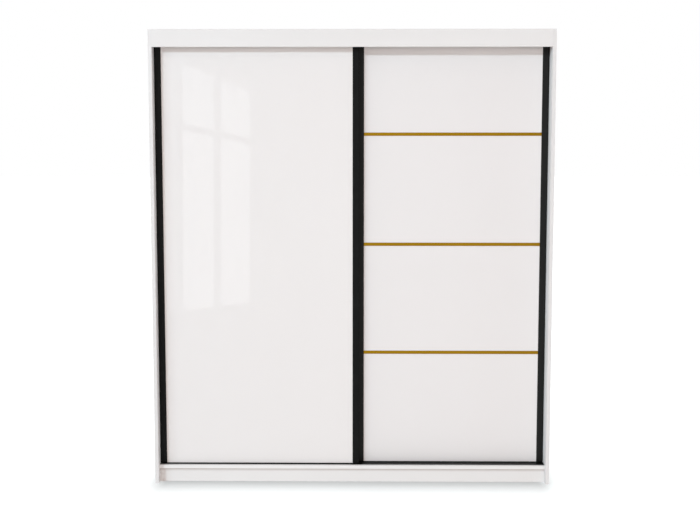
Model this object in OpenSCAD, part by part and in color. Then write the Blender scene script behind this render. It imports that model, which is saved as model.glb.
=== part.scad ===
// Two door sliding wardrobe. The plain left door runs on the front track and
// the banded right door on the rear track, between full height side panels.
// Millimetres. +X is right, +Y is back, +Z is up. The origin is on the floor,
// under the middle of the carcass.

/* [Carcass] */
// Overall width
width = 1800; // [1400:10:2200]
// Overall height
height = 2050; // [1900:10:2500]
// Overall depth
depth = 600; // [540:10:700]
// Thickness of the carcass boards
board_t = 16; // [16:1:19]
// Thickness of the back sheets
back_t = 3; // [3:1:5]
// Height of the header board that hides the top track
header_h = 77; // [72:1:110]
// Height of the plinth under the bottom board
plinth_h = 62.5; // [45:0.5:120]
// How far the bottom board stands back from the front edges
bottom_setback = 27; // [15:1:35]
// How far the plinth stands back from the front edges
plinth_setback = 38; // [30:1:80]

/* [Doors] */
// How far the front door's face stands back from the front edges
door_setback = 55; // [50:1:70]
// Clearance between the front door and the rear door
door_clearance = 6; // [6:1:14]
// Face width of the upright door profiles
stile_w = 29; // [28:1:40]
// Depth of the door profiles
stile_d = 28; // [28:1:29]
// Thickness of the door panels
panel_t = 10; // [8:1:10]
// Gap between a closed door and the side panel
door_gap = 2; // [2:0.5:4]
// How far the middle of the door overlap lies right of the centre
meeting_x = 28.5; // [0:0.5:40]
// How far the two closed doors overlap
door_lap = 7; // [6:1:20]
// Height of the metal bands across the right door
band_h = 15; // [10:1:25]

/* [Running gear] */
// Tread radius of the bottom wheels
wheel_r = 11; // [10:0.5:11]
// Distance from an upright profile to the wheel beside it
wheel_inset = 30; // [29:1:41]
// Thickness of the guide rollers in the top track
roller_t = 8; // [6:1:10]

/* [Interior] */
// Clear height between the hat shelves and the top
hat_space_h = 318; // [280:2:500]
// Number of loose shelves in the right bay
shelf_count = 3; // [3:1:3]
// Diameter of the hanging rail
rail_dia = 25; // [20:1:30]

/* [Hidden] */
$fn = 48;

// Colours
board_white = [0.93, 0.92, 0.91];
gloss_white = [0.95, 0.95, 0.94];
black_metal = [0.09, 0.09, 0.09];
band_gold = [0.66, 0.49, 0.13];
nylon = [0.85, 0.85, 0.82];
black_plastic = [0.13, 0.13, 0.13];
steel = [0.70, 0.71, 0.73];

// Carcass
inner_x = width / 2 - board_t;
front_y = -depth / 2;
back_y = depth / 2 - back_t;
floor_z = plinth_h + board_t;
ceiling_z = height - board_t;
header_z = height - header_h;
seat_gap = 0.2;
metal_t = 1.5;

// Tracks
track_pitch = stile_d + door_clearance;
track_base_t = 1.2;
rib_top = floor_z + 2.5;
rib_w = 3.4;
top_track_h = 32;
top_wall_low = ceiling_z - top_track_h;
track_end_gap = 0.5;
track_front_y = front_y + 43;
track_screw_count = 5;

// Doors: each is [left edge, right edge, front face]
door_low = rib_top + 1;
door_high = top_wall_low - 4;
door_h = door_high - door_low;
front_door_y = front_y + door_setback;
rear_door_y = front_door_y + track_pitch;
closed_x = inner_x - door_gap;
left_door = [-closed_x, meeting_x + door_lap / 2, front_door_y];
right_door = [meeting_x - door_lap / 2, closed_x, rear_door_y];

// Door profiles, measured back from the profile's front face
panel_back = metal_t + panel_t;
run_v = (panel_back + stile_d) / 2;
groove_depth = 10;
panel_inset = stile_w - groove_depth + 0.5;
grip_w = 12;
grip_depth = 9;
top_rail_h = 18;
bottom_rail_h = 38;
bottom_rail_lift = 2;
chamber_w = stile_d - panel_back - 2 * metal_t;
block_w = chamber_w - 2 * seat_gap;

// Bands: their middles as fractions of the door height, from the bottom up
band_fractions = [for (i = [0 : 2]) 0.267 + 0.26 * i];
band_z = [for (f = band_fractions) round(door_low + f * door_h)];
band_web = 1.6;
band_flange = 1.2;

// Running gear: x is measured in from the door's nearer edge
wheel_x = stile_w + wheel_inset;
flange_r = wheel_r + 1;
wheel_w = 8;
wheel_groove_w = 4.4;
wheel_z = rib_top + 0.3 + wheel_r;
axle_r = 2;
run_clearance = 0.05;
roller_r = (track_pitch - metal_t) / 2 - 0.35;
roller_z = top_wall_low + 6;
pin_r = 2.5;
pin_inset = 30;
pin_x = stile_w + pin_inset;
wheel_block_len = wheel_inset + flange_r + 4;
guide_block_len = pin_inset + 16;
screw_z = door_low + 30;
adjust_z = door_low + 10;
screw_r = 1.9;
screw_reach = 14;

// Interior, behind the top track
inner_y = rear_door_y + run_v + (track_pitch + metal_t) / 2 + 1.5;
shelf_front = inner_y + 8;
shelf_back = back_y - 1;
hat_shelf_z = ceiling_z - hat_space_h - board_t;
shelf_pitch = (hat_shelf_z - floor_z) / (shelf_count + 1);
half_board = board_t / 2;
shelf_pin_r = 2.5;
shelf_pin_in = 8;
shelf_pin_out = 9;
rail_r = rail_dia / 2;
rail_z = hat_shelf_z - 60;
rail_y = (inner_y + back_y) / 2;
socket_t = 3;
socket_screw_offset = rail_r + 6;

// Cam fittings: each joint is [place, turn]. The joint's own +X runs from the
// joint face into the board that holds the cam, and its +Z points out of the
// face that the cam is set in.
cam_r = 7.5;
cam_depth = 12.5;
cam_reach = 34;
bolt_r = 3.5;
bolt_thread_r = 2.5;
bolt_thread = 11;
left_face = [0, 0, 0];
right_face = [0, 0, 180];
joint_front = inner_y + 40;
joint_back = back_y - 50;
top_joints = [for (y = [front_y + 60, joint_back])
    each [[[-inner_x, y, height - half_board], left_face],
          [[inner_x, y, height - half_board], right_face]]];
bottom_joints = [for (y = [joint_front, joint_back])
    each [[[-inner_x, y, plinth_h + half_board], left_face + [180, 0, 0]],
          [[inner_x, y, plinth_h + half_board], right_face + [180, 0, 0]]]];
header_joints = [
    [[-inner_x, front_y + half_board, height - 50], left_face + [-90, 0, 0]],
    [[inner_x, front_y + half_board, height - 50], right_face + [90, 0, 0]]
];
front_plinth_y = front_y + plinth_setback + half_board;
front_plinth_joints = [
    [[-inner_x, front_plinth_y, plinth_h / 2], left_face + [-90, 0, 0]],
    [[inner_x, front_plinth_y, plinth_h / 2], right_face + [90, 0, 0]]
];
rear_plinth_y = back_y - half_board;
rear_plinth_joints = [
    [[-inner_x, rear_plinth_y, plinth_h / 2], left_face + [90, 0, 0]],
    [[inner_x, rear_plinth_y, plinth_h / 2], right_face + [-90, 0, 0]]
];
partition_top_joints = [for (y = [joint_front, joint_back]) [[0, y, ceiling_z], [0, 90, 0]]];
partition_foot_joints = [for (y = [joint_front, joint_back]) [[0, y, floor_z], [180, -90, 0]]];
hat_joint_z = hat_shelf_z + half_board;
left_hat_joints = [for (y = [joint_front, joint_back])
    each [[[-inner_x, y, hat_joint_z], [180, 0, 0]],
          [[-half_board, y, hat_joint_z], [180, 0, 180]]]];
right_hat_joints = [for (y = [joint_front + 40, joint_back - 40])
    each [[[half_board, y, hat_joint_z], [180, 0, 0]],
          [[inner_x, y, hat_joint_z], [180, 0, 180]]]];
all_joints = concat(top_joints, bottom_joints, header_joints, front_plinth_joints,
    rear_plinth_joints, partition_top_joints, partition_foot_joints,
    left_hat_joints, right_hat_joints);

// ---- Shared shapes ----

// A board between two opposite corners
module board(low, high) {
    translate(low) cube(high - low);
}

// A section drawn as [back, up], run along +X
module along_x(length) {
    rotate([90, 0, 90]) linear_extrude(length) children();
}

// A round bar along +X
module bar_x(length, r) {
    rotate([0, 90, 0]) cylinder(h = length, r = r);
}

module at_joints(joints) {
    for (j = joints) translate(j[0]) rotate(j[1]) children();
}

// The cam's pocket and the bolt's hole, cut from the board that holds the cam
module cam_bore() {
    translate([cam_reach, 0, half_board - cam_depth - 0.1])
        cylinder(h = cam_depth + 1, r = cam_r + 0.1);
    translate([-1, 0, 0]) bar_x(cam_reach + 1, bolt_r + 0.1);
}

// The bolt's thread hole, cut from the neighbour
module bolt_bore() {
    translate([-bolt_thread - 0.5, 0, 0]) bar_x(bolt_thread + 1.5, bolt_thread_r + 0.1);
}

module shelf_heights() {
    for (i = [1 : shelf_count]) translate([0, 0, floor_z + i * shelf_pitch]) children();
}

// Pins stand in both faces of the right bay, under each loose shelf
module at_shelf_pins() {
    shelf_heights()
        for (y = [shelf_front + 40, shelf_back - 40])
            translate([0, y, -shelf_pin_r - 0.05]) children();
}

module shelf_pin_bores(face_x) {
    at_shelf_pins()
        translate([face_x - shelf_pin_in - 0.3, 0, 0])
            bar_x(2 * shelf_pin_in + 0.6, shelf_pin_r + 0.05);
}

// Screws of the two rail sockets, above and below the rail
module at_socket_screws() {
    for (side = [[-inner_x, 0], [-half_board, 180]], dz = [-1, 1])
        translate([side[0], rail_y, rail_z + dz * socket_screw_offset])
            rotate([0, 0, side[1]]) children();
}

module socket_screw_bores() {
    at_socket_screws() translate([-10.3, 0, 0]) bar_x(11.3, 1.6);
}

// ---- Carcass ----

module side_panel_blank(x) {
    board([x, front_y, 0], [x + board_t, back_y, height]);
}

module left_side_panel() {
    color(board_white) difference() {
        side_panel_blank(-width / 2);
        at_joints([for (j = all_joints) if (j[0][0] == -inner_x) j]) bolt_bore();
        socket_screw_bores();
    }
}

module right_side_panel() {
    color(board_white) difference() {
        side_panel_blank(inner_x);
        at_joints([for (j = all_joints) if (j[0][0] == inner_x) j]) bolt_bore();
        shelf_pin_bores(inner_x);
    }
}

module top_panel() {
    color(board_white) difference() {
        board([-inner_x, front_y + board_t, ceiling_z], [inner_x, back_y, height]);
        at_joints(top_joints) cam_bore();
        at_joints(partition_top_joints) bolt_bore();
        at_top_track_screws() cylinder(h = 12.3, r = screw_r + 0.1);
    }
}

module bottom_panel() {
    color(board_white) difference() {
        board([-inner_x, front_y + bottom_setback, plinth_h], [inner_x, back_y, floor_z]);
        at_joints(bottom_joints) cam_bore();
        at_joints(partition_foot_joints) bolt_bore();
        at_bottom_track_screws() translate([0, 0, -12.3]) cylinder(h = 13, r = screw_r + 0.1);
    }
}

module header_board() {
    color(board_white) difference() {
        board([-inner_x, front_y, header_z], [inner_x, front_y + board_t, height]);
        at_joints(header_joints) cam_bore();
    }
}

module front_plinth() {
    color(board_white) difference() {
        board([-inner_x, front_plinth_y - half_board, 0],
            [inner_x, front_plinth_y + half_board, plinth_h]);
        at_joints(front_plinth_joints) cam_bore();
    }
}

module rear_plinth() {
    color(board_white) difference() {
        board([-inner_x, rear_plinth_y - half_board, 0],
            [inner_x, rear_plinth_y + half_board, plinth_h]);
        at_joints(rear_plinth_joints) cam_bore();
    }
}

// Carries the middle of the bottom board, under the partition
module plinth_cross_rail() {
    color(board_white)
        board([-half_board, front_plinth_y + half_board, 0],
            [half_board, rear_plinth_y - half_board, plinth_h]);
}

module partition() {
    color(board_white) difference() {
        board([-half_board, inner_y, floor_z], [half_board, back_y, ceiling_z]);
        at_joints(partition_top_joints) cam_bore();
        at_joints(partition_foot_joints) cam_bore();
        at_joints([for (j = all_joints) if (abs(j[0][0]) == half_board) j]) bolt_bore();
        intersection() {
            shelf_pin_bores(half_board);
            board([0, inner_y, floor_z], [board_t, back_y, ceiling_z]);
        }
        socket_screw_bores();
    }
}

// Thin sheets nailed on the rear edges, meeting behind the partition
module back_sheet(x_low, x_high) {
    color(board_white) board([x_low, back_y, plinth_h - 20], [x_high, depth / 2, height - 3]);
}

module left_back_sheet() {
    back_sheet(-width / 2 + 2, -0.5);
}

module right_back_sheet() {
    back_sheet(0.5, width / 2 - 2);
}

module hat_shelf(x_low, x_high, joints) {
    color(board_white) difference() {
        board([x_low, shelf_front, hat_shelf_z], [x_high, shelf_back, hat_shelf_z + board_t]);
        at_joints(joints) cam_bore();
    }
}

module left_hat_shelf() {
    hat_shelf(-inner_x, -half_board, left_hat_joints);
}

module right_hat_shelf() {
    hat_shelf(half_board, inner_x, right_hat_joints);
}

module loose_shelf(number) {
    z = floor_z + number * shelf_pitch;
    color(board_white)
        board([half_board + 1, shelf_front, z], [inner_x - 1, shelf_back, z + board_t]);
}

module lower_shelf() {
    loose_shelf(1);
}

module middle_shelf() {
    loose_shelf(2);
}

module upper_shelf() {
    loose_shelf(3);
}

module shelf_pins() {
    color(steel) {
        at_shelf_pins() {
            translate([half_board - shelf_pin_in + 1, 0, 0])
                bar_x(shelf_pin_in - 1 + shelf_pin_out, shelf_pin_r);
            translate([inner_x - shelf_pin_out, 0, 0])
                bar_x(shelf_pin_in + shelf_pin_out, shelf_pin_r);
        }
    }
}

// Round steel tube for hangers, under the left hat shelf
module hanging_rail() {
    rail_end = 3 + seat_gap;
    color(steel)
        translate([-inner_x + rail_end, rail_y, rail_z])
            difference() {
                bar_x(inner_x - half_board - 2 * rail_end, rail_r);
                translate([-1, 0, 0]) bar_x(inner_x - half_board, rail_r - 1.2);
            }
}

// A round flange with a collar that the tube's end sits in
module rail_socket() {
    collar_t = 2.4;
    difference() {
        union() {
            bar_x(socket_t, rail_r + 12);
            bar_x(16, rail_r + collar_t);
        }
        translate([socket_t, 0, 0]) bar_x(20, rail_r + 0.1);
        for (dz = [-1, 1]) translate([-1, 0, dz * socket_screw_offset]) bar_x(6, 1.8);
    }
}

module rail_sockets() {
    color(steel)
        for (side = [[-inner_x, 0], [-half_board, 180]])
            translate([side[0], rail_y, rail_z]) rotate([0, 0, side[1]]) rail_socket();
}

module socket_screws() {
    color(steel) at_socket_screws() {
        translate([-10, 0, 0]) bar_x(10 + socket_t, 1.5);
        translate([socket_t, 0, 0]) bar_x(1.8, 3.2);
    }
}

// Zinc discs that pull each bolt tight, with a cross slot for the driver
module cam_locks() {
    color(steel) at_joints(all_joints)
        translate([cam_reach, 0, half_board - cam_depth])
            difference() {
                cylinder(h = cam_depth, r = cam_r);
                translate([-cam_r - 1, 0, cam_depth - half_board])
                    bar_x(cam_r + 1, bolt_r + 0.15);
                for (a = [0, 90]) rotate([0, 0, a])
                    translate([-4, -0.6, cam_depth - 2]) cube([8, 1.2, 3]);
            }
}

module cam_bolts() {
    neck = 6;
    color(steel) at_joints(all_joints) {
        translate([-bolt_thread, 0, 0]) bar_x(bolt_thread, bolt_thread_r);
        bar_x(cam_reach - neck, bolt_r);
        translate([cam_reach - neck, 0, 0]) bar_x(neck - 1, 2.2);
    }
}

// ---- Tracks ----

track_screw_x = [for (i = [0 : track_screw_count - 1])
    (i - (track_screw_count - 1) / 2) * (inner_x * 2 - 120) / (track_screw_count - 1)];
track_low_x = -inner_x + track_end_gap;
track_len = 2 * (inner_x - track_end_gap);
front_run_y = front_door_y + run_v;
rear_run_y = rear_door_y + run_v;

// Countersunk screws of the top track, one row in each channel
module at_top_track_screws() {
    for (x = track_screw_x, y = [front_run_y, rear_run_y]) translate([x, y, ceiling_z]) children();
}

// One row of screws between the two ribs of the bottom track
module at_bottom_track_screws() {
    for (x = track_screw_x)
        translate([x, (front_run_y + rear_run_y) / 2, floor_z]) children();
}

// Two channels, open downwards, that the guide rollers run in
module top_track() {
    walls = [front_run_y - track_pitch / 2, (front_run_y + rear_run_y) / 2,
        rear_run_y + track_pitch / 2];
    color(black_metal) difference() {
        translate([track_low_x, 0, 0]) along_x(track_len) {
            for (y = walls)
                translate([y - metal_t / 2, top_wall_low]) square([metal_t, top_track_h]);
            translate([walls[0] - metal_t / 2, ceiling_z - metal_t])
                square([2 * track_pitch + metal_t, metal_t]);
        }
        at_top_track_screws() translate([0, 0, -metal_t - 1]) cylinder(h = 5, r = screw_r + 0.1);
    }
}

// A flat plate with one running rib for each door
module bottom_track() {
    plate_d = rear_run_y + 12 - track_front_y;
    color(black_metal) difference() {
        translate([track_low_x, 0, 0]) along_x(track_len) {
            translate([track_front_y, floor_z]) square([plate_d, track_base_t]);
            for (y = [front_run_y, rear_run_y])
                translate([y - rib_w / 2, floor_z]) square([rib_w, rib_top - floor_z]);
            translate([track_front_y + plate_d - metal_t, floor_z])
                square([metal_t, rib_top - floor_z]);
        }
        at_bottom_track_screws() translate([0, 0, -1]) cylinder(h = 4, r = 3.1);
    }
}

module track_screws() {
    color(steel) {
        at_top_track_screws() {
            translate([0, 0, -metal_t]) cylinder(h = metal_t + 12, r = screw_r);
            translate([0, 0, -metal_t - 1.8]) cylinder(h = 1.8, r = 3.5);
        }
        at_bottom_track_screws() {
            translate([0, 0, -12]) cylinder(h = 12, r = screw_r);
            cylinder(h = track_base_t, r = 3);
        }
    }
}

// Rubber blocks at the four channel ends, which the guide rollers stop against
module door_stops() {
    stop_w = track_pitch - metal_t - 2 * seat_gap;
    stop_len = door_gap + pin_x - roller_r - track_end_gap - 0.5;
    stop_h = top_track_h - metal_t - 6;
    color(black_plastic)
        for (side = [-1, 1], y = [front_run_y, rear_run_y])
            translate([side * (inner_x - track_end_gap - stop_len / 2), y,
                ceiling_z - metal_t - stop_h / 2])
                cube([stop_len, stop_w, stop_h], center = true);
}

// ---- Door parts: door is [left edge, right edge, front face] ----

// Upright profile seen from above: outer edge at x = 0, front face at y = 0
module stile_section() {
    grip_v = run_v - grip_w / 2;
    chamber_x = grip_depth + metal_t;
    groove_x = stile_w - groove_depth;
    difference() {
        square([stile_w, stile_d]);
        translate([groove_x, metal_t]) square([groove_depth + 1, panel_t]);
        translate([-1, grip_v]) square([grip_depth + 1, grip_w]);
        translate([metal_t, metal_t]) square([grip_depth - metal_t, grip_v - 2 * metal_t]);
        translate([chamber_x, metal_t])
            square([groove_x - metal_t - chamber_x, stile_d - 2 * metal_t]);
        translate([groove_x, panel_back + metal_t])
            square([groove_depth - metal_t, chamber_w]);
    }
}

// Puts a shape made for a door's left end at both ends of the door
module at_left_end(door) {
    translate([door[0], door[2], 0]) children();
}

module at_right_end(door) {
    translate([door[1], door[2], 0]) mirror([1, 0, 0]) children();
}

module at_both_ends(door) {
    at_left_end(door) children();
    at_right_end(door) children();
}

// The fixing screws' holes through the upright's walls
module stile_screw_bores() {
    for (z = [screw_z, adjust_z, door_high - top_rail_h / 2])
        translate([grip_depth - 1, run_v, z]) bar_x(stile_w, screw_r + 0.2);
}

module stile() {
    color(black_metal) difference() {
        translate([0, 0, door_low]) linear_extrude(door_h) stile_section();
        stile_screw_bores();
    }
}

// Caps the panel's top edge and holds the guide blocks in its rear channel
module top_rail(door) {
    rail_low = door_high - top_rail_h;
    color(black_metal) difference() {
        translate([door[0] + stile_w, door[2], 0])
            along_x(door[1] - door[0] - 2 * stile_w)
                difference() {
                    translate([0, rail_low]) square([stile_d, top_rail_h]);
                    translate([metal_t, rail_low - 1])
                        square([panel_t, top_rail_h - metal_t + 1]);
                    translate([panel_back + metal_t, rail_low - 1])
                        square([chamber_w, top_rail_h - metal_t + 1]);
                }
        at_both_ends(door)
            translate([pin_x, run_v, door_high - 5]) cylinder(h = 10, r = 4.3);
    }
}

// A channel behind the panel, open downwards, that holds the wheel blocks
module bottom_rail(door) {
    rail_low = door_low + bottom_rail_lift;
    color(black_metal)
        translate([door[0] + stile_w, door[2], 0])
            along_x(door[1] - door[0] - 2 * stile_w)
                difference() {
                    translate([panel_back, rail_low])
                        square([stile_d - panel_back, bottom_rail_h]);
                    translate([panel_back + metal_t, rail_low - 1])
                        square([chamber_w, bottom_rail_h - metal_t + 1]);
                }
}

// Block in the bottom rail's end: forked around the wheel, and tapped for the
// screw that holds the upright and the one that sets the height
module wheel_block() {
    slot_top = wheel_z + flange_r + 1.2;
    slot_half = flange_r + 1.2;
    block_low = door_low + bottom_rail_lift;
    block_top = block_low + 33;
    difference() {
        translate([stile_w + seat_gap, run_v - block_w / 2, block_low])
            cube([wheel_block_len, block_w, block_top - block_low]);
        translate([wheel_x - slot_half, run_v - wheel_w / 2 - 0.4, block_low - 1])
            cube([2 * slot_half, wheel_w + 0.8, slot_top - block_low + 1]);
        translate([wheel_x, run_v + block_w, wheel_z])
            rotate([90, 0, 0]) cylinder(h = 2 * block_w, r = axle_r + run_clearance);
        for (z = [screw_z, adjust_z])
            translate([stile_w, run_v, z]) bar_x(screw_reach + 0.5, screw_r + 0.1);
    }
}

module wheel_blocks(door) {
    color(black_plastic) at_both_ends(door) wheel_block();
}

module axles(door) {
    color(steel) at_both_ends(door)
        translate([wheel_x, run_v + block_w / 2, wheel_z])
            rotate([90, 0, 0]) cylinder(h = block_w, r = axle_r);
}

// Grooved wheel that straddles the track's rib
module wheel() {
    rim_w = (wheel_w - wheel_groove_w) / 2;
    color(nylon)
        translate([wheel_x, run_v + wheel_w / 2, wheel_z])
            rotate([90, 0, 0])
                difference() {
                    union() {
                        cylinder(h = wheel_w, r = wheel_r);
                        for (y = [0, wheel_w - rim_w])
                            translate([0, 0, y]) cylinder(h = rim_w, r = flange_r);
                    }
                    translate([0, 0, -1]) cylinder(h = wheel_w + 2, r = axle_r + run_clearance);
                    for (y = [-1, wheel_w - 1])
                        translate([0, 0, y]) difference() {
                            cylinder(h = 2, r = wheel_r - 2.5);
                            translate([0, 0, -1]) cylinder(h = 4, r = axle_r + 2);
                        }
                }
}

// Block in the top rail's end that carries the guide roller's pin
module guide_block() {
    block_low = door_high - top_rail_h + 1;
    block_h = top_rail_h - metal_t - seat_gap - 1;
    difference() {
        translate([stile_w + seat_gap, run_v - block_w / 2, block_low])
            cube([guide_block_len, block_w, block_h]);
        translate([stile_w, run_v, door_high - top_rail_h / 2])
            bar_x(screw_reach + 0.5, screw_r + 0.1);
        translate([pin_x, run_v, block_low - 1]) cylinder(h = 30, r = pin_r + 0.05);
    }
}

module guide_blocks(door) {
    color(black_plastic) at_both_ends(door) guide_block();
}

// Upright pins: a collar under the roller and a head over it
module guide_pins(door) {
    pin_low = door_high - top_rail_h + 3;
    collar_low = door_high - metal_t - seat_gap;
    color(steel) at_both_ends(door)
        translate([pin_x, run_v, 0]) {
            translate([0, 0, pin_low]) cylinder(h = roller_z + roller_t - pin_low + 1, r = pin_r);
            translate([0, 0, collar_low]) cylinder(h = roller_z - 0.3 - collar_low, r = 4);
            translate([0, 0, roller_z + roller_t + 0.3]) cylinder(h = 2, r = 4.5);
        }
}

// Flat roller between the walls of the top channel
module guide_roller() {
    color(nylon)
        translate([pin_x, run_v, roller_z])
            difference() {
                cylinder(h = roller_t, r = roller_r);
                translate([0, 0, -1]) cylinder(h = roller_t + 2, r = pin_r + run_clearance);
                for (z = [-1, roller_t - 1.5])
                    translate([0, 0, z]) difference() {
                        cylinder(h = 2.5, r = roller_r - 3);
                        translate([0, 0, -1]) cylinder(h = 5, r = pin_r + 3);
                    }
            }
}

// Screws through the upright into the blocks: two fixing, one for the height
module door_screws(door) {
    color(steel) at_both_ends(door)
        for (z = [screw_z, adjust_z, door_high - top_rail_h / 2]) {
            translate([grip_depth, run_v, z]) bar_x(stile_w - grip_depth + screw_reach, screw_r);
            translate([grip_depth - 2.2, run_v, z]) bar_x(2.2, 3.6);
        }
}

// Pile strip on a door's outer flank, brushing the side panel
module flank_brush() {
    color(black_plastic)
        translate([0.3 - door_gap, 2, door_low + 1]) cube([door_gap - 0.3, 5, door_h - 2]);
}

// Pile strip behind the front door's meeting profile, brushing the rear door
module meeting_brush() {
    brush_d = track_pitch - stile_d - 1;
    color(black_plastic)
        translate([1, stile_d, door_low + 1]) cube([5, brush_d, door_h - 2]);
}

// Panel between two heights, its edges in the uprights' grooves
module door_panel(door, low, high) {
    color(gloss_white)
        board([door[0] + panel_inset, door[2] + metal_t, low],
            [door[1] - panel_inset, door[2] + panel_back, high]);
}

panel_top = door_high - metal_t - 0.5;

// ---- Left door ----

module left_door_panel() {
    door_panel(left_door, door_low, panel_top);
}

module left_door_left_stile() {
    at_left_end(left_door) stile();
}

module left_door_right_stile() {
    at_right_end(left_door) stile();
}

module left_door_left_wheel() {
    at_left_end(left_door) wheel();
}

module left_door_right_wheel() {
    at_right_end(left_door) wheel();
}

module left_door_left_roller() {
    at_left_end(left_door) guide_roller();
}

module left_door_right_roller() {
    at_right_end(left_door) guide_roller();
}

module left_door_brushes() {
    at_left_end(left_door) flank_brush();
    at_right_end(left_door) meeting_brush();
}

// ---- Right door ----

module right_door_bottom_panel() {
    door_panel(right_door, door_low, band_z[0] - band_web / 2);
}

module right_door_lower_panel() {
    door_panel(right_door, band_z[0] + band_web / 2, band_z[1] - band_web / 2);
}

module right_door_upper_panel() {
    door_panel(right_door, band_z[1] + band_web / 2, band_z[2] - band_web / 2);
}

module right_door_top_panel() {
    door_panel(right_door, band_z[2] + band_web / 2, panel_top);
}

// H section bars that join one panel to the next
module right_door_bands() {
    color(band_gold)
        for (z = band_z)
            translate([right_door[0] + stile_w, right_door[2], z])
                along_x(right_door[1] - right_door[0] - 2 * stile_w) {
                    translate([metal_t, -band_web / 2]) square([panel_t, band_web]);
                    for (v = [metal_t - band_flange, panel_back])
                        translate([v, -band_h / 2]) square([band_flange, band_h]);
                }
}

module right_door_left_stile() {
    at_left_end(right_door) stile();
}

module right_door_right_stile() {
    at_right_end(right_door) stile();
}

module right_door_left_wheel() {
    at_left_end(right_door) wheel();
}

module right_door_right_wheel() {
    at_right_end(right_door) wheel();
}

module right_door_left_roller() {
    at_left_end(right_door) guide_roller();
}

module right_door_right_roller() {
    at_right_end(right_door) guide_roller();
}

module right_door_brush() {
    at_right_end(right_door) flank_brush();
}

left_side_panel();
right_side_panel();
top_panel();
bottom_panel();
header_board();
front_plinth();
rear_plinth();
plinth_cross_rail();
partition();
left_back_sheet();
right_back_sheet();
left_hat_shelf();
right_hat_shelf();
lower_shelf();
middle_shelf();
upper_shelf();
shelf_pins();
hanging_rail();
rail_sockets();
socket_screws();
cam_locks();
cam_bolts();
top_track();
bottom_track();
track_screws();
door_stops();
left_door_panel();
left_door_left_stile();
left_door_right_stile();
top_rail(left_door);  // left_door_top_rail
bottom_rail(left_door);  // left_door_bottom_rail
wheel_blocks(left_door);  // left_door_wheel_blocks
axles(left_door);  // left_door_axles
left_door_left_wheel();
left_door_right_wheel();
guide_blocks(left_door);  // left_door_guide_blocks
guide_pins(left_door);  // left_door_guide_pins
left_door_left_roller();
left_door_right_roller();
door_screws(left_door);  // left_door_screws
left_door_brushes();
right_door_bottom_panel();
right_door_lower_panel();
right_door_upper_panel();
right_door_top_panel();
right_door_bands();
right_door_left_stile();
right_door_right_stile();
top_rail(right_door);  // right_door_top_rail
bottom_rail(right_door);  // right_door_bottom_rail
wheel_blocks(right_door);  // right_door_wheel_blocks
axles(right_door);  // right_door_axles
right_door_left_wheel();
right_door_right_wheel();
guide_blocks(right_door);  // right_door_guide_blocks
guide_pins(right_door);  // right_door_guide_pins
right_door_left_roller();
right_door_right_roller();
door_screws(right_door);  // right_door_screws
right_door_brush();
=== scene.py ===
from math import radians

import bmesh
import bpy
from mathutils import Matrix, Vector


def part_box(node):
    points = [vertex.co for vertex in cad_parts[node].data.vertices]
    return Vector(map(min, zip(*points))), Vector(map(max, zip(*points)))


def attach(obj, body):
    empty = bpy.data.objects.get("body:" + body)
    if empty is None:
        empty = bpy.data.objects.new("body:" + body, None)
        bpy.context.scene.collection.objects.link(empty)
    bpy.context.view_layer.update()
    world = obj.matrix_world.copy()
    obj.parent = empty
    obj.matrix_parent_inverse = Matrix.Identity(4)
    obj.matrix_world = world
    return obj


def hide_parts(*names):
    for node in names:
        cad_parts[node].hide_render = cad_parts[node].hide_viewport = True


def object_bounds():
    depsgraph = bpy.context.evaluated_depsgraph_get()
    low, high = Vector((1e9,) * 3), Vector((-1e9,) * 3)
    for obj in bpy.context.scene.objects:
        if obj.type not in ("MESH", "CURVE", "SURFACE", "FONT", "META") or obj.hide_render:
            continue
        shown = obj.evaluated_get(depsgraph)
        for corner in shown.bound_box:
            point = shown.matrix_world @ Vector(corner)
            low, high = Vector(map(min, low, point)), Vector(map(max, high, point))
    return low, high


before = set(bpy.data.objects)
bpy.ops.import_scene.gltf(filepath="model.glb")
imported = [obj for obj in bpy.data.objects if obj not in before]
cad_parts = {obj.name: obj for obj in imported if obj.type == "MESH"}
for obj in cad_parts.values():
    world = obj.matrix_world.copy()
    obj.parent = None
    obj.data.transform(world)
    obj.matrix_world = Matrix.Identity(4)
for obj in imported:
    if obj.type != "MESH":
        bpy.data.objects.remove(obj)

cad_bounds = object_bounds()
front_y = cad_bounds[0].y
scene = bpy.context.scene
scene.view_settings.view_transform = "Standard"

# ---- The view ----
# A long lens in front of the doors, 50 mm right of their middle and half a metre
# above it. It is tilted down by 6 degrees and looks slightly to the left.
camera_data = bpy.data.cameras.new("camera")
camera_data.sensor_width = 36
camera_data.lens = 61.71
camera = bpy.data.objects.new("camera", camera_data)
camera_across = 0.0497
camera_distance = 5.351
camera_height = 1.586
camera_tilt = 83.94
camera_turn = 0.62
camera.location = (camera_across, front_y - camera_distance, camera_height)
camera.rotation_euler = (radians(camera_tilt), 0, radians(camera_turn))
scene.collection.objects.link(camera)
scene.camera = camera

# ---- The studio ----
# A pale floor in a plain white room. Cool lamps high to the front left throw the
# header's shadow, weak warm ones in front and low down fill it, and two more
# light the right side and the back.


def node_setup(owner):
    owner.use_nodes = True
    owner.node_tree.nodes.clear()
    return owner.node_tree.nodes, owner.node_tree.links


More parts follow.
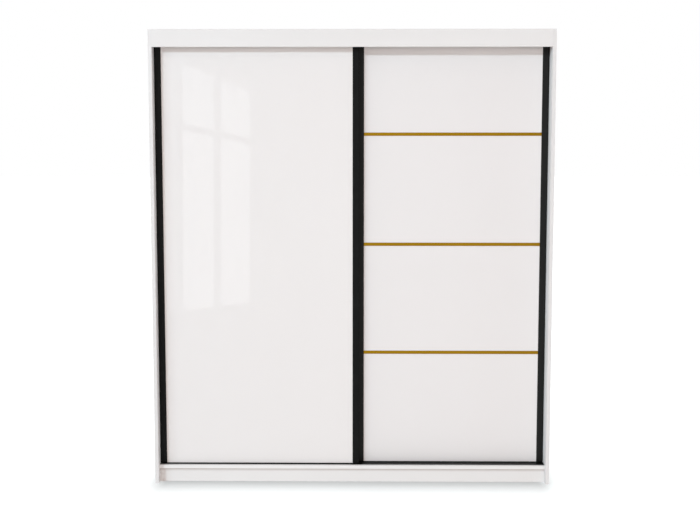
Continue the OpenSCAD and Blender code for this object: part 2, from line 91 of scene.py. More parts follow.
# The room gives a warm light, and is seen and mirrored as plain white.
room = bpy.data.worlds.new("room light")
scene.world = room
nodes, links = node_setup(room)
lit = nodes.new("ShaderNodeBackground")
lit.inputs["Color"].default_value = (0.985, 0.853, 0.800, 1)
lit.inputs["Strength"].default_value = 0.475
seen = nodes.new("ShaderNodeBackground")
seen.inputs["Color"].default_value = (1, 1, 1, 1)
seen.inputs["Strength"].default_value = 1.0
ray = nodes.new("ShaderNodeLightPath")
shown = ray.outputs["Is Camera Ray"]
for kind in ("Is Glossy Ray", "Is Transmission Ray"):
    either = nodes.new("ShaderNodeMath")
    either.operation = "MAXIMUM"
    links.new(shown, either.inputs[0])
    links.new(ray.outputs[kind], either.inputs[1])
    shown = either.outputs[0]
choice = nodes.new("ShaderNodeMixShader")
links.new(shown, choice.inputs["Fac"])
links.new(lit.outputs[0], choice.inputs[1])
links.new(seen.outputs[0], choice.inputs[2])
output = nodes.new("ShaderNodeOutputWorld")
links.new(choice.outputs[0], output.inputs["Surface"])

floor_mesh = bpy.data.meshes.new("floor")
shape = bmesh.new()
bmesh.ops.create_grid(shape, x_segments=1, y_segments=1, size=40)
shape.to_mesh(floor_mesh)
shape.free()
floor = bpy.data.objects.new("floor", floor_mesh)
scene.collection.objects.link(floor)
floor_finish = bpy.data.materials.new("pale floor")
nodes, links = node_setup(floor_finish)


def floor_node(kind, operation, values):
    node = nodes.new(kind)
    node.operation = operation
    for slot, value in enumerate(values):
        if hasattr(value, "is_linked"):
            links.new(value, node.inputs[slot])
        else:
            node.inputs[slot].default_value = value
    return node


def floor_number(operation, *values):
    return floor_node("ShaderNodeMath", operation, values).outputs["Value"]


def floor_vector(operation, *values):
    return floor_node("ShaderNodeVectorMath", operation, values).outputs["Vector"]


# The soft shadow round the base: it is darkest within shadow_core of the middle,
# and fades out shadow_reach from there, sooner past the ends by shadow_stretch.
shadow_core = (0.85, 0.262, 0)
shadow_stretch = (2.4, 1, 0)
shadow_reach = 0.22
shadow_falloff = 1.32
shadow_depth = 0.57
place = nodes.new("ShaderNodeTexCoord").outputs["Object"]
away = floor_vector("SUBTRACT", floor_vector("ABSOLUTE", place), shadow_core)
away = floor_vector("MULTIPLY", floor_vector("MAXIMUM", away, (0, 0, 0)), shadow_stretch)
length = floor_node("ShaderNodeVectorMath", "LENGTH", (away,)).outputs["Value"]
reach = floor_number("DIVIDE", length, shadow_reach)
near = floor_number("MAXIMUM", floor_number("SUBTRACT", 1.0, reach), 0.0)
drop = floor_number("MULTIPLY", floor_number("POWER", near, shadow_falloff), shadow_depth)
far = floor_number("MINIMUM", floor_number("MAXIMUM", floor_number("SUBTRACT", reach, 1.0), 0.0), 1.0)

# The paint gives the light back to the object at its full whiteness. The eye
# sees half of that and a glow that makes up for it, and a mirror only the glow.
paint_white = 0.92
less_for_eye = 0.47
less_for_mirror = 0.90
near_glow = 0.77
far_glow = 1.0
ray = nodes.new("ShaderNodeLightPath")
eye = ray.outputs["Is Camera Ray"]
mirror = ray.outputs["Is Glossy Ray"]
paint = nodes.new("ShaderNodeBsdfDiffuse")
whiteness = floor_number("SUBTRACT", paint_white, floor_number("MULTIPLY", eye, less_for_eye))
whiteness = floor_number("SUBTRACT", whiteness, floor_number("MULTIPLY", mirror, less_for_mirror))
links.new(whiteness, paint.inputs["Color"])
glow_level = floor_number("MULTIPLY", far, far_glow - near_glow)
glow_level = floor_number("ADD", floor_number("SUBTRACT", near_glow, drop), glow_level)
to_eye = floor_number("MULTIPLY", glow_level, eye)
to_mirror = floor_number("MULTIPLY", floor_number("SUBTRACT", 1.0, drop), mirror)
lift = nodes.new("ShaderNodeEmission")
lift.inputs["Color"].default_value = (0.96, 1.0, 1.0, 1)
links.new(floor_number("ADD", to_eye, to_mirror), lift.inputs["Strength"])
both = nodes.new("ShaderNodeAddShader")
links.new(paint.outputs[0], both.inputs[0])
links.new(lift.outputs[0], both.inputs[1])
output = nodes.new("ShaderNodeOutputMaterial")
links.new(both.outputs[0], output.inputs["Surface"])
floor.data.materials.append(floor_finish)


def soft_lamp(name, place, aim, width, height, power, color):
    data = bpy.data.lights.new(name, "AREA")
    data.shape = "RECTANGLE"
    data.size = width
    data.size_y = height
    data.energy = power
    data.color = color
    lamp = bpy.data.objects.new(name, data)
    lamp.location = place
    lamp.rotation_euler = (Vector(aim) - Vector(place)).to_track_quat("-Z", "Y").to_euler()
    scene.collection.objects.link(lamp)
    return lamp


COOL = (0.731, 0.910, 1.0)
WARM = (1.0, 0.868, 0.805)
soft_lamp("key lamp", (-10.2, -13.6, 6.6), (0, -0.3, 1.0),
          width=1.8, height=0.8, power=1110, color=COOL)
# A long strip that lies along the wardrobe, so that the header's shadow has a
# straight edge.
soft_lamp("side lamp", (-17.0, -13.6, 6.6), (-17.0, -0.3, 1.0),
          width=9.0, height=0.8, power=1160, color=COOL)
# Each fill lamp's name, place, width, height, power in watts and colour.
fill_lamps = (("front lamp", (-1.0, -12.1, 3.1), 5.0, 1.5, 85, WARM),
              ("low lamp", (0.9, -5.3, 0.4), 3.0, 0.6, 46, WARM),
              ("right lamp", (14.0, -3.0, 4.0), 4.0, 3.0, 205, COOL),
              ("back lamp", (4.5, 11.0, 5.5), 5.0, 3.0, 470, COOL))
for name, place, width, height, power, color in fill_lamps:
    lamp = soft_lamp(name, place, (0, -0.3, place[2] / 3), width, height, power, color)
    lamp.visible_glossy = False

# The window of the studio, which only shows as a reflection in the gloss door.
# It has two bright columns of panes and the edge of a faint third one, and a
# cross bar splits each. As it stands askew, its uprights lean and its bars slope.
window_distance = 3.5
window_top = 2.15
window_middle = -1.1
cross_bar_height = 1.65
upright_lean = 0.011
bright_columns = ((-1.29, -1.06), (-1.005, -0.79))
faint_columns = ((-1.43, -1.345),)
# Each row's upper and lower edge, as its height at the window's middle and its
# rise in a metre to the right.
upper_row = ((2.03, -0.40), (1.635, -0.23))
lower_row = ((1.58, -0.21), (0.29, 0.13))
# A bright wall stands far off to the left. Only the brushed metal shows it.
wall_distance = 11.7
wall_corners = ((-9.5, 4.5), (-2.95, 4.5), (-2.95, 0.3), (-9.5, 0.3))
window_mesh = bpy.data.meshes.new("window")
shape = bmesh.new()


def pane_corner(across, edge):
    height, rise = edge
    up = height + rise * (across - window_middle)
    lean = upright_lean * (up - cross_bar_height)
    return shape.verts.new((across + lean, front_y - window_distance, up))


for finish_slot, columns in enumerate((bright_columns, faint_columns)):
    for left, right in columns:
        for upper, lower in (upper_row, lower_row):
            corners = [pane_corner(left, upper), pane_corner(right, upper),
                       pane_corner(right, lower), pane_corner(left, lower)]
            pane = shape.faces.new(corners)
            pane.material_index = finish_slot
shape.faces.new([shape.verts.new((x, front_y - wall_distance, z)) for x, z in wall_corners])
bmesh.ops.recalc_face_normals(shape, faces=shape.faces)
shape.to_mesh(window_mesh)
shape.free()
window = bpy.data.objects.new("window", window_mesh)
scene.collection.objects.link(window)
window.visible_camera = False
window.visible_diffuse = False
window.visible_transmission = False
window.visible_shadow = False
for name, top_strength, low_strength in (("daylight", 2.1, 2.2), ("faint daylight", 1.6, 1.4)):
    daylight = bpy.data.materials.new(name)
    nodes, links = node_setup(daylight)
    place = nodes.new("ShaderNodeTexCoord")
    height = nodes.new("ShaderNodeSeparateXYZ")
    links.new(place.outputs["Object"], height.inputs[0])
    fade = nodes.new("ShaderNodeMapRange")
    fade.inputs["From Min"].default_value = window_top
    fade.inputs["From Max"].default_value = cross_bar_height
    fade.inputs["To Min"].default_value = top_strength
    fade.inputs["To Max"].default_value = low_strength
    links.new(height.outputs["Z"], fade.inputs["Value"])
    glow = nodes.new("ShaderNodeEmission")
    glow.inputs["Color"].default_value = (0.95, 0.98, 1.0, 1)
    links.new(fade.outputs["Result"], glow.inputs["Strength"])
    output = nodes.new("ShaderNodeOutputMaterial")
    links.new(glow.outputs[0], output.inputs["Surface"])
    window.data.materials.append(daylight)

# ---- Side panels and fixed boards ----
# Chipboard faced with satin white melamine, 16 mm thick. The boards are sawn,
# their seen edges get a 1 mm plastic band, and the band's corners are eased.


def effect_group(name, inputs, outputs):
    group = bpy.data.node_groups.new(name, "ShaderNodeTree")
    for label, kind, value in inputs:
        socket = group.interface.new_socket(label, in_out="INPUT", socket_type=kind)
        if value is not None:
            socket.default_value = value
    for label, kind in outputs:
        group.interface.new_socket(label, in_out="OUTPUT", socket_type=kind)
    return group, group.nodes.new("NodeGroupInput"), group.nodes.new("NodeGroupOutput")


def math_node(tree, operation, first, second=None):
    node = tree.nodes.new("ShaderNodeMath")
    node.operation = operation
    for slot, value in enumerate((first, second)):
        if value is None:
            continue
        if isinstance(value, (int, float)):
            node.inputs[slot].default_value = value
        else:
            tree.links.new(value, node.inputs[slot])
    return node.outputs[0]


def noise_node(tree, vector, scale, detail=3.0, roughness=0.55):
    node = tree.nodes.new("ShaderNodeTexNoise")
    tree.links.new(vector, node.inputs["Vector"])
    if isinstance(scale, (int, float)):
        node.inputs["Scale"].default_value = scale
    else:
        tree.links.new(scale, node.inputs["Scale"])
    node.inputs["Detail"].default_value = detail
    node.inputs["Roughness"].default_value = roughness
    return node.outputs["Fac"]


# Cloudy: slow and fine unevenness of a surface.
cloudy, cloudy_in, cloudy_out = effect_group(
    "cloudy",
    [("Vector", "NodeSocketVector", None), ("Scale", "NodeSocketFloat", 3.0),
     ("Grain scale", "NodeSocketFloat", 600.0)],
    [("Clouds", "NodeSocketFloat"), ("Grain", "NodeSocketFloat")])
slow_noise = noise_node(cloudy, cloudy_in.outputs["Vector"], cloudy_in.outputs["Scale"])
cloudy.links.new(slow_noise, cloudy_out.inputs["Clouds"])
fine_noise = noise_node(cloudy, cloudy_in.outputs["Vector"], cloudy_in.outputs["Grain scale"], detail=2.0)
cloudy.links.new(fine_noise, cloudy_out.inputs["Grain"])

# Edge scuffs: a broken line of handling marks along the edges of a box shape.
scuffs, scuffs_in, scuffs_out = effect_group(
    "edge scuffs",
    [("Vector", "NodeSocketVector", None), ("Middle", "NodeSocketVector", None),
     ("Half size", "NodeSocketVector", None), ("Reach", "NodeSocketFloat", 0.004)],
    [("Mask", "NodeSocketFloat")])
offset = scuffs.nodes.new("ShaderNodeVectorMath")
offset.operation = "SUBTRACT"
scuffs.links.new(scuffs_in.outputs["Vector"], offset.inputs[0])
scuffs.links.new(scuffs_in.outputs["Middle"], offset.inputs[1])
distance = scuffs.nodes.new("ShaderNodeVectorMath")
distance.operation = "ABSOLUTE"
scuffs.links.new(offset.outputs[0], distance.inputs[0])
inset = scuffs.nodes.new("ShaderNodeVectorMath")
inset.operation = "SUBTRACT"
scuffs.links.new(scuffs_in.outputs["Half size"], inset.inputs[0])
scuffs.links.new(distance.outputs[0], inset.inputs[1])
axes = scuffs.nodes.new("ShaderNodeSeparateXYZ")
scuffs.links.new(inset.outputs[0], axes.inputs[0])
# The middle one of the three insets is the distance to the nearest edge.
nearer = math_node(scuffs, "MINIMUM", axes.outputs["X"], axes.outputs["Y"])
farther = math_node(scuffs, "MAXIMUM", axes.outputs["X"], axes.outputs["Y"])
edge = math_node(scuffs, "MAXIMUM", nearer, math_node(scuffs, "MINIMUM", farther, axes.outputs["Z"]))
share = math_node(scuffs, "DIVIDE", edge, scuffs_in.outputs["Reach"])
closeness = math_node(scuffs, "MAXIMUM", math_node(scuffs, "SUBTRACT", 1.0, share), 0.0)
broken = noise_node(scuffs, scuffs_in.outputs["Vector"], scale=28.0, detail=5.0, roughness=0.7)
bare_level = 0.38
contrast = 3.0
marks = math_node(scuffs, "MULTIPLY", closeness, math_node(scuffs, "SUBTRACT", broken, bare_level))
clamp = scuffs.nodes.new("ShaderNodeClamp")
scuffs.links.new(math_node(scuffs, "MULTIPLY", marks, contrast), clamp.inputs["Value"])
scuffs.links.new(clamp.outputs[0], scuffs_out.inputs["Mask"])


def new_finish(name):
    finish = bpy.data.materials.new(name)
    finish.use_nodes = True
    tree = finish.node_tree
    surface = tree.nodes["Principled BSDF"]
    place = tree.nodes.new("ShaderNodeTexCoord").outputs["Object"]
    return finish, tree, surface, place


def group_node(tree, group, **values):
    node = tree.nodes.new("ShaderNodeGroup")
    node.node_tree = group
    for label, value in values.items():
        socket = node.inputs[label.replace("_", " ")]
        if hasattr(value, "is_linked"):
            tree.links.new(value, socket)
        else:
            socket.default_value = value
    return node.outputs


# A colour that goes from the first to the second as the mask goes from 0 to 1.
def tone(tree, mask, first, second):
    mix = tree.nodes.new("ShaderNodeMix")
    mix.data_type = "RGBA"
    tree.links.new(mask, mix.inputs["Factor"])
    for socket, value in ((mix.inputs[6], first), (mix.inputs[7], second)):
        if isinstance(value, tuple):
            socket.default_value = (*value, 1)
        else:
            tree.links.new(value, socket)
    return mix.outputs[2]


# Stretches the middle of a noise, or another range of it, over two limits.
def spread(tree, mask, low_value, high_value, from_low=0.3, from_high=0.7):
    node = tree.nodes.new("ShaderNodeMapRange")
    tree.links.new(mask, node.inputs["Value"])
    node.inputs["From Min"].default_value = from_low
    node.inputs["From Max"].default_value = from_high
    node.inputs["To Min"].default_value = low_value
    node.inputs["To Max"].default_value = high_value
    return node.outputs["Result"]


def relief(tree, height, strength, depth):
    bump = tree.nodes.new("ShaderNodeBump")
    bump.inputs["Strength"].default_value = strength
    bump.inputs["Distance"].default_value = depth
    tree.links.new(height, bump.inputs["Height"])
    return bump.outputs["Normal"]


def melamine(name, corner, far_corner):
    light = (0.772, 0.752, 0.742)
    shade = (0.758, 0.738, 0.728)
    handled = (0.62, 0.59, 0.56)
    finish, tree, surface, place = new_finish(name)
    cloud = group_node(tree, cloudy, Vector=place, Scale=2.4, Grain_scale=900.0)
    scuff = group_node(tree, scuffs, Vector=place, Middle=(corner + far_corner) / 2,
                       Half_size=(far_corner - corner) / 2, Reach=0.005)
    base = tone(tree, spread(tree, cloud["Clouds"], 0.0, 1.0), light, shade)
    worn = tone(tree, math_node(tree, "MULTIPLY", scuff["Mask"], 0.35), base, handled)
    tree.links.new(worn, surface.inputs["Base Color"])
    tree.links.new(spread(tree, cloud["Clouds"], 0.46, 0.58), surface.inputs["Roughness"])
    tree.links.new(relief(tree, cloud["Grain"], strength=0.25, depth=0.00008), surface.inputs["Normal"])
    surface.inputs["Specular IOR Level"].default_value = 0.12
    return finish


# Clouds a colour slowly from light to shade, and roughens it with a fine grain.
def grained(name, light, shade, clouds, grain, smooth, rough, bump, depth):
    finish, tree, surface, place = new_finish(name)
    cloud = group_node(tree, cloudy, Vector=place, Scale=clouds, Grain_scale=grain)
    base = tone(tree, spread(tree, cloud["Clouds"], 0.0, 1.0), light, shade)
    tree.links.new(base, surface.inputs["Base Color"])
    tree.links.new(spread(tree, cloud["Grain"], smooth, rough), surface.inputs["Roughness"])
    tree.links.new(relief(tree, cloud["Grain"], bump, depth), surface.inputs["Normal"])
    return finish, surface


def band_plastic(name, light, shade):
    finish, surface = grained(name, light, shade, clouds=5.0, grain=1400.0,
                              smooth=0.30, rough=0.38, bump=0.15, depth=0.00005)
    surface.inputs["Specular IOR Level"].default_value = 0.4
    return finish


# The upright bands at the front corners are a darker copy of the same band: painted shade, which keeps
# these edges from reading brighter than the header.
edge_band = band_plastic("white edge band", (0.805, 0.786, 0.777), (0.790, 0.771, 0.762))
shaded_corner_band = band_plastic("white edge band at the corners", (0.740, 0.722, 0.714), (0.722, 0.704, 0.696))


# Rounds every edge of a shape that turns by more than an angle.
def eased(shape, width, segments=2, sharp=30):
    edges = [e for e in shape.edges if len(e.link_faces) == 2 and e.calc_face_angle() > radians(sharp)]
    bmesh.ops.bevel(shape, geom=edges, offset=width, offset_type="OFFSET", affect="EDGES",
                    segments=segments, profile=0.5, material=-1, clamp_overlap=True)


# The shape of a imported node, with its loose triangles joined into whole faces.
def packed_shape(node):
    shape = bmesh.new()
    shape.from_mesh(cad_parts[node].data)
    bmesh.ops.remove_doubles(shape, verts=shape.verts, dist=0.00002)
    bmesh.ops.dissolve_limit(shape, angle_limit=radians(0.5), verts=shape.verts, edges=shape.edges)
    for face in shape.faces:
        face.material_index = 0
        face.smooth = True
    return shape


def add_piece(name, shape, body, finishes, stands_for=None, sharp=31):
    mesh = bpy.data.meshes.new(name)
    shape.to_mesh(mesh)
    shape.free()
    for face in mesh.polygons:
        face.use_smooth = True
    mesh.set_sharp_from_angle(angle=radians(sharp))
    for finish in finishes:
        mesh.materials.append(finish)
    piece = bpy.data.objects.new(name, mesh)
    scene.collection.objects.link(piece)
    steady = piece.modifiers.new("flat faces stay flat", "WEIGHTED_NORMAL")
    steady.keep_sharp = True
    steady.weight = 100
    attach(piece, body)
    if stands_for:
        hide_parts(stands_for)
    return piece


band_thickness = 0.0011
board_easing = 0.0007


# Cuts the board just behind its banded edge and gives the strip the band's finish.
def banded_board(name, node, band_side, band=edge_band):
    board_low, board_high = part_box(node)
    shape = packed_shape(node)
    eased(shape, board_easing)
    axis, sign = band_side
    edge_at = (board_high if sign > 0 else board_low)[axis]
    cut = Vector((0, 0, 0))
    cut[axis] = edge_at - sign * band_thickness
    normal = Vector((0, 0, 0))
    normal[axis] = 1
    bmesh.ops.bisect_plane(shape, geom=shape.verts[:] + shape.edges[:] + shape.faces[:], dist=0.00001,
                           plane_co=cut, plane_no=normal)
    for face in shape.faces:
        if (face.calc_center_median()[axis] - cut[axis]) * sign > 0:
            face.material_index = 1
    face_finish = melamine(name + " melamine", board_low, board_high)
    return add_piece(name, shape, "carcass", [face_finish, band], node)


# The side of a board that carries its band, as an axis and a direction on it.
FRONT = (1, -1)
LOWER = (2, -1)
UPPER = (2, 1)
banded_board("left_side", "left_side_panel", FRONT, shaded_corner_band)
banded_board("right_side", "right_side_panel", FRONT, shaded_corner_band)
banded_board("roof", "top_panel", FRONT)
banded_board("header", "header_board", LOWER)
banded_board("base_board", "bottom_panel", FRONT)
kick_board = banded_board("kick_board", "front_plinth", UPPER)
# Painted shade: the plinth's colour darkens towards its top, in the corner under the bottom board where
# the board's overhang throws its shade.
tree = kick_board.data.materials[0].node_tree
surface = tree.nodes["Principled BSDF"]
unshaded_tone = surface.inputs["Base Color"].links[0].from_socket
level = tree.nodes.new("ShaderNodeSeparateXYZ")
tree.links.new(tree.nodes.new("ShaderNodeTexCoord").outputs["Object"], level.inputs[0])
corner_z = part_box("front_plinth")[1].z
shade_height = 0.016
painted_shade_tone = (0.40, 0.33, 0.30)
painted_shade_under_board = spread(tree, level.outputs["Z"], 0.0, 0.75,
                     from_low=corner_z - shade_height, from_high=corner_z)
tree.links.new(tone(tree, painted_shade_under_board, unshaded_tone, painted_shade_tone), surface.inputs["Base Color"])
banded_board("rear_kick_board", "rear_plinth", UPPER)
banded_board("kick_rail", "plinth_cross_rail", UPPER)
banded_board("middle_wall", "partition", FRONT)
banded_board("left_hat_board", "left_hat_shelf", FRONT)
banded_board("right_hat_board", "right_hat_shelf", FRONT)
banded_board("lower_loose_shelf", "lower_shelf", FRONT)
banded_board("middle_loose_shelf", "middle_shelf", FRONT)
banded_board("upper_loose_shelf", "upper_shelf", FRONT)

# ---- Back sheets ----
# Two thin hardboard sheets, white on both faces, nailed on the rear edges of
# the carcass. The fibres show faintly through the outer face's thin paint.


def painted_hardboard(name, corner, far_corner):
    light = (0.80, 0.78, 0.75)
    shade = (0.75, 0.72, 0.69)
    bare_fibre = (0.60, 0.53, 0.45)
    broken_edge = (0.42, 0.31, 0.21)
    finish, tree, surface, place = new_finish(name)
    cloud = group_node(tree, cloudy, Vector=place, Scale=6.0, Grain_scale=260.0)
    scuff = group_node(tree, scuffs, Vector=place, Middle=(corner + far_corner) / 2,
                       Half_size=(far_corner - corner) / 2, Reach=0.010)
    fibres = noise_node(tree, place, scale=95.0, detail=8.0, roughness=0.75)
    base = tone(tree, spread(tree, cloud["Clouds"], 0.0, 1.0), light, shade)
    showing = spread(tree, fibres, 0.0, 0.30, from_low=0.42, from_high=0.75)
    base = tone(tree, showing, base, bare_fibre)
    worn = tone(tree, math_node(tree, "MULTIPLY", scuff["Mask"], 0.8), base, broken_edge)
    tree.links.new(worn, surface.inputs["Base Color"])
    tree.links.new(spread(tree, fibres, 0.55, 0.75), surface.inputs["Roughness"])
    tree.links.new(relief(tree, fibres, strength=0.35, depth=0.0003), surface.inputs["Normal"])
    surface.inputs["Specular IOR Level"].default_value = 0.3
    return finish


# The heads of the nails stand 0.2 mm proud of the sheet, which is drawn 0.3 mm
# thinner for them. Their rows run along the sheet's four edges.
nail_steel, surface = grained("nail steel", (0.42, 0.42, 0.43), (0.27, 0.26, 0.26), clouds=300.0,
                              grain=2500.0, smooth=0.35, rough=0.55, bump=0.3, depth=0.00004)
surface.inputs["Metallic"].default_value = 1.0
sheet_setback = 0.0003
sheet_easing = 0.0003
nail_pitch = 0.15
nail_inset = 0.008
nail_radius = 0.0034
nail_top_radius = 0.0026
nail_height = 0.0004
for side in ("left", "right"):
    sheet_low, sheet_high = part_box(side + "_back_sheet")
    shape = packed_shape(side + "_back_sheet")
    for corner in shape.verts:
        if corner.co.y > (sheet_low.y + sheet_high.y) / 2:
            corner.co.y -= sheet_setback
    eased(shape, sheet_easing)
    back_paint = painted_hardboard(side + " back paint", sheet_low, sheet_high)
    add_piece(side + "_back_board", shape, "carcass", [back_paint], side + "_back_sheet")
    first_x = sheet_low.x + nail_inset
    last_x = sheet_high.x - nail_inset
    first_z = sheet_low.z + nail_inset
    last_z = sheet_high.z - nail_inset
    columns = round((last_x - first_x) / nail_pitch)
    rows = round((last_z - first_z) / nail_pitch)
    spots = [(first_x + (last_x - first_x) * n / columns, z)
             for n in range(columns + 1) for z in (first_z, last_z)]
    spots += [(x, first_z + (last_z - first_z) * n / rows)
              for n in range(1, rows) for x in (first_x, last_x)]
    shape = bmesh.new()
    backwards = Matrix.Rotation(radians(-90), 4, "X")
    for x, z in spots:
        seat = Matrix.Translation((x, sheet_high.y - sheet_setback, z))
        bmesh.ops.create_cone(shape, cap_ends=True, segments=16, radius1=nail_radius,
                              radius2=nail_top_radius, depth=nail_height, matrix=seat @ backwards)
    bmesh.ops.recalc_face_normals(shape, faces=shape.faces)
    add_piece(side + "_back_nails", shape, "carcass", [nail_steel])

# ---- Tracks ----
# Extruded aluminium, anodised satin black. The top track is a double channel
# screwed under the roof, the bottom one a plate with a running rib per door.

# Drawn lines: fine lines along the way that a bar was drawn or brushed.
drawn, drawn_in, drawn_out = effect_group(
    "drawn lines",
    [("Vector", "NodeSocketVector", None), ("Fineness", "NodeSocketVector", None)],
    [("Lines", "NodeSocketFloat"), ("Breaks", "NodeSocketFloat")])
stretched = drawn.nodes.new("ShaderNodeVectorMath")
stretched.operation = "MULTIPLY"
drawn.links.new(drawn_in.outputs["Vector"], stretched.inputs[0])
drawn.links.new(drawn_in.outputs["Fineness"], stretched.inputs[1])
fine_lines = noise_node(drawn, stretched.outputs[0], scale=1.0, detail=4.0, roughness=0.6)
drawn.links.new(fine_lines, drawn_out.inputs["Lines"])
patches = noise_node(drawn, drawn_in.outputs["Vector"], scale=9.0, detail=4.0, roughness=0.65)
drawn.links.new(patches, drawn_out.inputs["Breaks"])

# Lines per metre on each axis: few along the bar, and many across it.
ALONG_X = Vector((4.0, 1100.0, 1100.0))
ALONG_Z = Vector((1100.0, 1100.0, 4.0))


def black_anodised(name, fineness, dark, pale, gleam):
    dusty = (0.016, 0.0155, 0.015)
    finish, tree, surface, place = new_finish(name)
    lines = group_node(tree, drawn, Vector=place, Fineness=fineness)
    base = tone(tree, spread(tree, lines["Lines"], 0.0, 1.0), dark, pale)
    film = spread(tree, lines["Breaks"], 0.0, 0.35, from_low=0.5, from_high=0.8)
    tree.links.new(tone(tree, film, base, dusty), surface.inputs["Base Color"])
    tree.links.new(spread(tree, lines["Lines"], 0.32, 0.46), surface.inputs["Roughness"])
    tree.links.new(relief(tree, lines["Lines"], strength=0.20, depth=0.00004), surface.inputs["Normal"])
    surface.inputs["Specular IOR Level"].default_value = gleam
    return finish


black_along = black_anodised("black anodised track and rails", ALONG_X, dark=(0.0022, 0.0022, 0.0021),
                             pale=(0.0050, 0.0048, 0.0046), gleam=0.06)
metal_easing = 0.0003
for name, node in (("upper_track", "top_track"), ("lower_track", "bottom_track")):
    shape = packed_shape(node)
    eased(shape, metal_easing)
    add_piece(name, shape, "carcass", [black_along], node)

# ---- Door frames ----
# Each door is held by two upright profiles with a grip recess on the outer
# flank, a top rail over the panel and a bottom rail behind it.
# The rear door's uprights get a lighter black than the front door's: painted light on the uprights that
# stand further back in the shade.
lit_and_shaded_uprights = {
    "left": black_anodised("black anodised front uprights", ALONG_Z, dark=(0.0026, 0.0026, 0.0025),
                           pale=(0.0060, 0.0059, 0.0055), gleam=0.10),
    "right": black_anodised("black anodised rear uprights", ALONG_Z, dark=(0.0085, 0.0085, 0.0080),
                            pale=(0.0130, 0.0128, 0.0118), gleam=0.14),
}
upright_easing = 0.0005
for side in ("left", "right"):
    body = side + "_door"
    for end in ("left", "right"):
        shape = packed_shape(f"{side}_door_{end}_stile")
        eased(shape, upright_easing, segments=3)
        add_piece(f"{side}_door_{end}_upright", shape, body, [lit_and_shaded_uprights[side]],
                  f"{side}_door_{end}_stile")
    for end in ("top", "bottom"):
        shape = packed_shape(f"{side}_door_{end}_rail")
        eased(shape, metal_easing)
        add_piece(f"{side}_door_{end}_channel", shape, body, [black_along],
                  f"{side}_door_{end}_rail")

# ---- Door panels ----
# Gloss white panels, 10 mm thick. Each is cut square, its edges are eased and
# they sit in the grooves of the frame. The right door has four of them.


def gloss_white(name, corner, far_corner, light, shade):
    handled = (0.6, 0.58, 0.56)
    finish, tree, surface, place = new_finish(name)
    cloud = group_node(tree, cloudy, Vector=place, Scale=1.1, Grain_scale=55.0)
    scuff = group_node(tree, scuffs, Vector=place, Middle=(corner + far_corner) / 2,
                       Half_size=(far_corner - corner) / 2, Reach=0.003)
    base = tone(tree, spread(tree, cloud["Clouds"], 0.0, 1.0), light, shade)
    worn = tone(tree, math_node(tree, "MULTIPLY", scuff["Mask"], 0.2), base, handled)
    tree.links.new(worn, surface.inputs["Base Color"])
    tree.links.new(spread(tree, cloud["Clouds"], 0.004, 0.009), surface.inputs["Roughness"])
    tree.links.new(relief(tree, cloud["Grain"], strength=0.03, depth=0.0001), surface.inputs["Normal"])
    return finish


panel_easing = 0.0008


def gloss_panel(name, node, body, light, shade):
    panel_low, panel_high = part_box(node)
    shape = bmesh.new()
    bmesh.ops.create_cube(shape, size=1.0)
    bmesh.ops.scale(shape, vec=panel_high - panel_low, verts=shape.verts)
    bmesh.ops.translate(shape, vec=(panel_low + panel_high) / 2, verts=shape.verts)
    eased(shape, panel_easing, segments=3)
    finish = gloss_white(name + " gloss", panel_low, panel_high, light, shade)
    return add_piece(name, shape, body, [finish], node)


gloss_panel("left_gloss_panel", "left_door_panel", "left_door",
            light=(0.788, 0.760, 0.750), shade=(0.780, 0.751, 0.740))
for level in ("bottom", "lower", "upper", "top"):
    gloss_panel(f"right_gloss_panel_{level}", f"right_door_{level}_panel", "right_door",
                light=(0.785, 0.757, 0.750), shade=(0.777, 0.749, 0.742))

# ---- Bands of the right door ----
# H section aluminium bars, brushed along their length and anodised to the
# colour of brass. They clip over the edges of the panels above and below.
bright_brass = (0.380, 0.212, 0.014)
brushed_brass = (0.290, 0.152, 0.007)
dull_brass = (0.240, 0.120, 0.006)
brass, tree, surface, place = new_finish("brushed brass bands")
lines = group_node(tree, drawn, Vector=place, Fineness=Vector((3.0, 1500.0, 1500.0)))
cloud = group_node(tree, cloudy, Vector=place, Scale=2.5, Grain_scale=500.0)
base = tone(tree, spread(tree, lines["Lines"], 0.0, 1.0), bright_brass, brushed_brass)
tarnish = tone(tree, spread(tree, cloud["Clouds"], 0.0, 0.4), base, dull_brass)
tree.links.new(tarnish, surface.inputs["Base Color"])
surface.inputs["Metallic"].default_value = 1.0
tree.links.new(spread(tree, lines["Lines"], 0.34, 0.50), surface.inputs["Roughness"])
tree.links.new(relief(tree, lines["Lines"], strength=0.35, depth=0.00005), surface.inputs["Normal"])
shape = packed_shape("right_door_bands")
eased(shape, metal_easing)
add_piece("brass_bands", shape, "right_door", [brass], "right_door_bands")

# ---- Brush strips ----
# Short black nylon pile on a woven backing, glued along the doors' flanks. It
# keeps dust out where a door meets the side panel or the other door.
# The darkest colour, between the tufts, is painted shade; the tips have the nylon's own black.
painted_shade_between_tufts = (0.004, 0.004, 0.004)
tuft_tips = (0.030, 0.029, 0.028)
pile, tree, surface, place = new_finish("black brush pile")
lines = group_node(tree, drawn, Vector=place, Fineness=Vector((260.0, 260.0, 2600.0)))
base = tone(tree, spread(tree, lines["Lines"], 0.0, 1.0), painted_shade_between_tufts, tuft_tips)
tree.links.new(base, surface.inputs["Base Color"])
tree.links.new(spread(tree, lines["Lines"], 0.75, 0.95), surface.inputs["Roughness"])
tree.links.new(relief(tree, lines["Lines"], strength=0.9, depth=0.0004), surface.inputs["Normal"])
surface.inputs["Specular IOR Level"].default_value = 0.15


def dress(node, finish):
    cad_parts[node].data.materials.clear()
    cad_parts[node].data.materials.append(finish)


dress("left_door_brushes", pile)
dress("right_door_brush", pile)

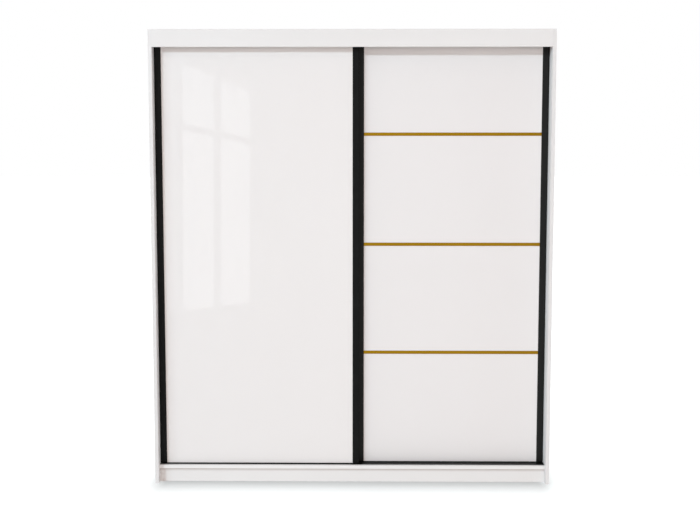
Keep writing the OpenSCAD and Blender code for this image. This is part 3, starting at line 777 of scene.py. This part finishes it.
# ---- Running gear ----
# Nylon wheels and guide rollers turn on steel axles and pins, which moulded
# black blocks hold in the ends of the rails.
nylon, surface = grained("natural nylon", (0.74, 0.72, 0.65), (0.66, 0.64, 0.57), clouds=60.0,
                         grain=1500.0, smooth=0.38, rough=0.52, bump=0.2, depth=0.00006)
moulded, surface = grained("moulded black plastic", (0.018, 0.018, 0.018), (0.032, 0.031, 0.030),
                           clouds=40.0, grain=1800.0, smooth=0.45, rough=0.62, bump=0.5, depth=0.0001)
rubber, surface = grained("black rubber", (0.014, 0.014, 0.014), (0.028, 0.028, 0.027), clouds=50.0,
                          grain=900.0, smooth=0.78, rough=0.92, bump=0.4, depth=0.00015)


def bare_metal(name, light, shade, smooth, rough, grain):
    finish, surface = grained(name, light, shade, clouds=45.0, grain=grain,
                              smooth=smooth, rough=rough, bump=0.25, depth=0.00006)
    surface.inputs["Metallic"].default_value = 1.0
    return finish


plated = bare_metal("zinc plated steel", (0.62, 0.62, 0.64), (0.50, 0.51, 0.53),
                    smooth=0.22, rough=0.36, grain=1200.0)
wheel_easing = 0.0003
for side in ("left", "right"):
    for part in ("axles", "guide_pins", "screws"):
        dress(f"{side}_door_{part}", plated)
    for part in ("wheel_blocks", "guide_blocks"):
        dress(f"{side}_door_{part}", moulded)
    for end in ("left", "right"):
        for part in ("wheel", "roller"):
            shape = packed_shape(f"{side}_door_{end}_{part}")
            eased(shape, wheel_easing, sharp=40)
            add_piece(f"{side}_door_{end}_nylon_{part}", shape, f"{side}_door_{end}_{part}_body", [nylon],
                      f"{side}_door_{end}_{part}")
dress("track_screws", plated)
dress("door_stops", rubber)

# ---- Cam fittings ----
# Zinc discs turn in their pockets and pull on the heads of steel bolts, which
# are screwed into the neighbouring board.
zinc = bare_metal("die cast zinc", (0.56, 0.56, 0.57), (0.42, 0.42, 0.43),
                  smooth=0.34, rough=0.52, grain=700.0)
dress("cam_locks", zinc)
dress("cam_bolts", plated)
dress("shelf_pins", plated)

# ---- Hanging rail ----
# A chrome plated steel tube, 25 mm across with a 1.2 mm wall. Its ends stand in
# two round zinc sockets, each held by two screws.
chrome = bare_metal("chrome plate", (0.78, 0.79, 0.81), (0.72, 0.73, 0.75),
                    smooth=0.05, rough=0.10, grain=300.0)
rail_low, rail_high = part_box("hanging_rail")
rail_middle = (rail_low + rail_high) / 2
rail_radius = (rail_high.z - rail_low.z) / 2
rail_wall = 0.0012
left_end = Matrix.Translation((rail_low.x, rail_middle.y, rail_middle.z))
turn = Matrix.Rotation(radians(90), 4, "Y")
shape = bmesh.new()
bmesh.ops.create_circle(shape, segments=72, radius=rail_radius, matrix=left_end @ turn)
drawn_out_edges = bmesh.ops.extrude_edge_only(shape, edges=shape.edges[:])
moved = [v for v in drawn_out_edges["geom"] if isinstance(v, bmesh.types.BMVert)]
bmesh.ops.translate(shape, vec=(rail_high.x - rail_low.x, 0, 0), verts=moved)
bmesh.ops.recalc_face_normals(shape, faces=shape.faces)
bmesh.ops.solidify(shape, geom=shape.faces[:], thickness=rail_wall)
bmesh.ops.recalc_face_normals(shape, faces=shape.faces)
add_piece("chrome_rail", shape, "carcass", [chrome], "hanging_rail")

# Half of a socket's section, as [off the wall, from the rail's axis]: a round
# plate with an eased rim, and a collar that the rail's end stands in.
socket_section = (
    (0.0, 0.0), (0.0, 0.0245), (0.0022, 0.0245), (0.0030, 0.0237),
    (0.0030, 0.0165), (0.0034, 0.0153), (0.0044, 0.0149), (0.0152, 0.0149),
    (0.0160, 0.0142), (0.0160, 0.0126), (0.0030, 0.0126), (0.0030, 0.0),
)
socket_low, socket_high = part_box("rail_sockets")
shape = bmesh.new()
for wall_x, sign in ((socket_low.x, 1), (socket_high.x, -1)):
    profile = [shape.verts.new((wall_x + sign * x, rail_middle.y, rail_middle.z + r))
               for x, r in socket_section]
    line = [shape.edges.new(pair) for pair in zip(profile, profile[1:])]
    bmesh.ops.spin(shape, geom=profile + line, cent=(wall_x, rail_middle.y, rail_middle.z),
                   axis=(1, 0, 0), angle=radians(360), steps=64, use_merge=True)
bmesh.ops.remove_doubles(shape, verts=shape.verts, dist=0.00001)
bmesh.ops.recalc_face_normals(shape, faces=shape.faces)
add_piece("round_rail_sockets", shape, "carcass", [zinc], "rail_sockets", sharp=35)
dress("socket_screws", plated)
